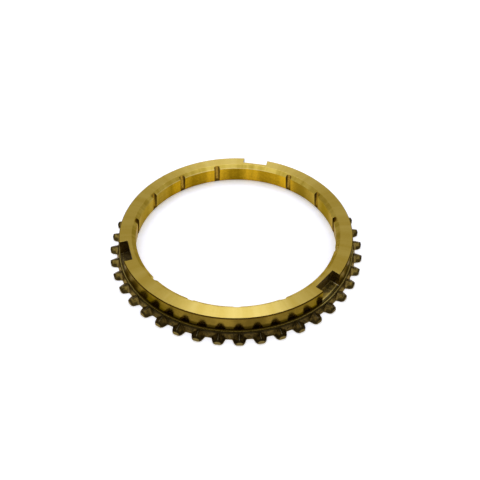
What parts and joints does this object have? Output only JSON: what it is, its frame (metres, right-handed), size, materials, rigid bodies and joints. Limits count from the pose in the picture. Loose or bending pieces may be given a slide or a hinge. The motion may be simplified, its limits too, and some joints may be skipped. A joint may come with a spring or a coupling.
{
  "type": "synchronizer ring",
  "caption": "Brass synchronizer ring with a grooved cone bore, outer blocking teeth with pointed roofs, and key slots in its hub-side rim.",
  "frame": {"origin": "centre of the gear-side face, on the ring's axis", "axes": "+Z along the ring's axis towards the hub side; +Y through the middle of one key slot"},
  "size_m": [0.0862, 0.086, 0.0078],
  "materials": {
    "brass": "turned and polished brass; the flange and teeth are darker and tarnished"
  },
  "bodies": {
    "root": {"synchro_ring": "brass"}
  },
  "joints": []
}
